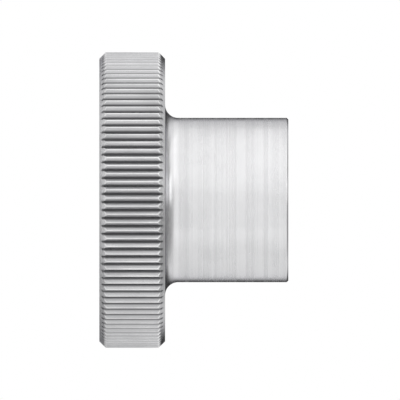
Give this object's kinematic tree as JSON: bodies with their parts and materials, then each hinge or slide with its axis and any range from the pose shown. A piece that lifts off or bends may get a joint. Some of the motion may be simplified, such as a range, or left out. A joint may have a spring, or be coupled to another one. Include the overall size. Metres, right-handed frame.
{
  "type": "knurled thumb nut",
  "caption": "Turned metal thumb nut with a broad straight-knurled round head, a plain round collar and a threaded hole right through, for tightening by hand.",
  "frame": {"origin": "centre of the knurled head's outer face, on which the nut stands", "axes": "+Z along the thread's axis, from the head out through the collar's bearing face; X and Y are alike, with one knurl groove centred on +X"},
  "size_m": [0.036, 0.036, 0.023],
  "materials": {
    "turned_steel": "bright turned steel with fine turning lines and a straight knurl"
  },
  "bodies": {
    "root": {"knurled_thumb_nut": "turned_steel"}
  },
  "joints": []
}
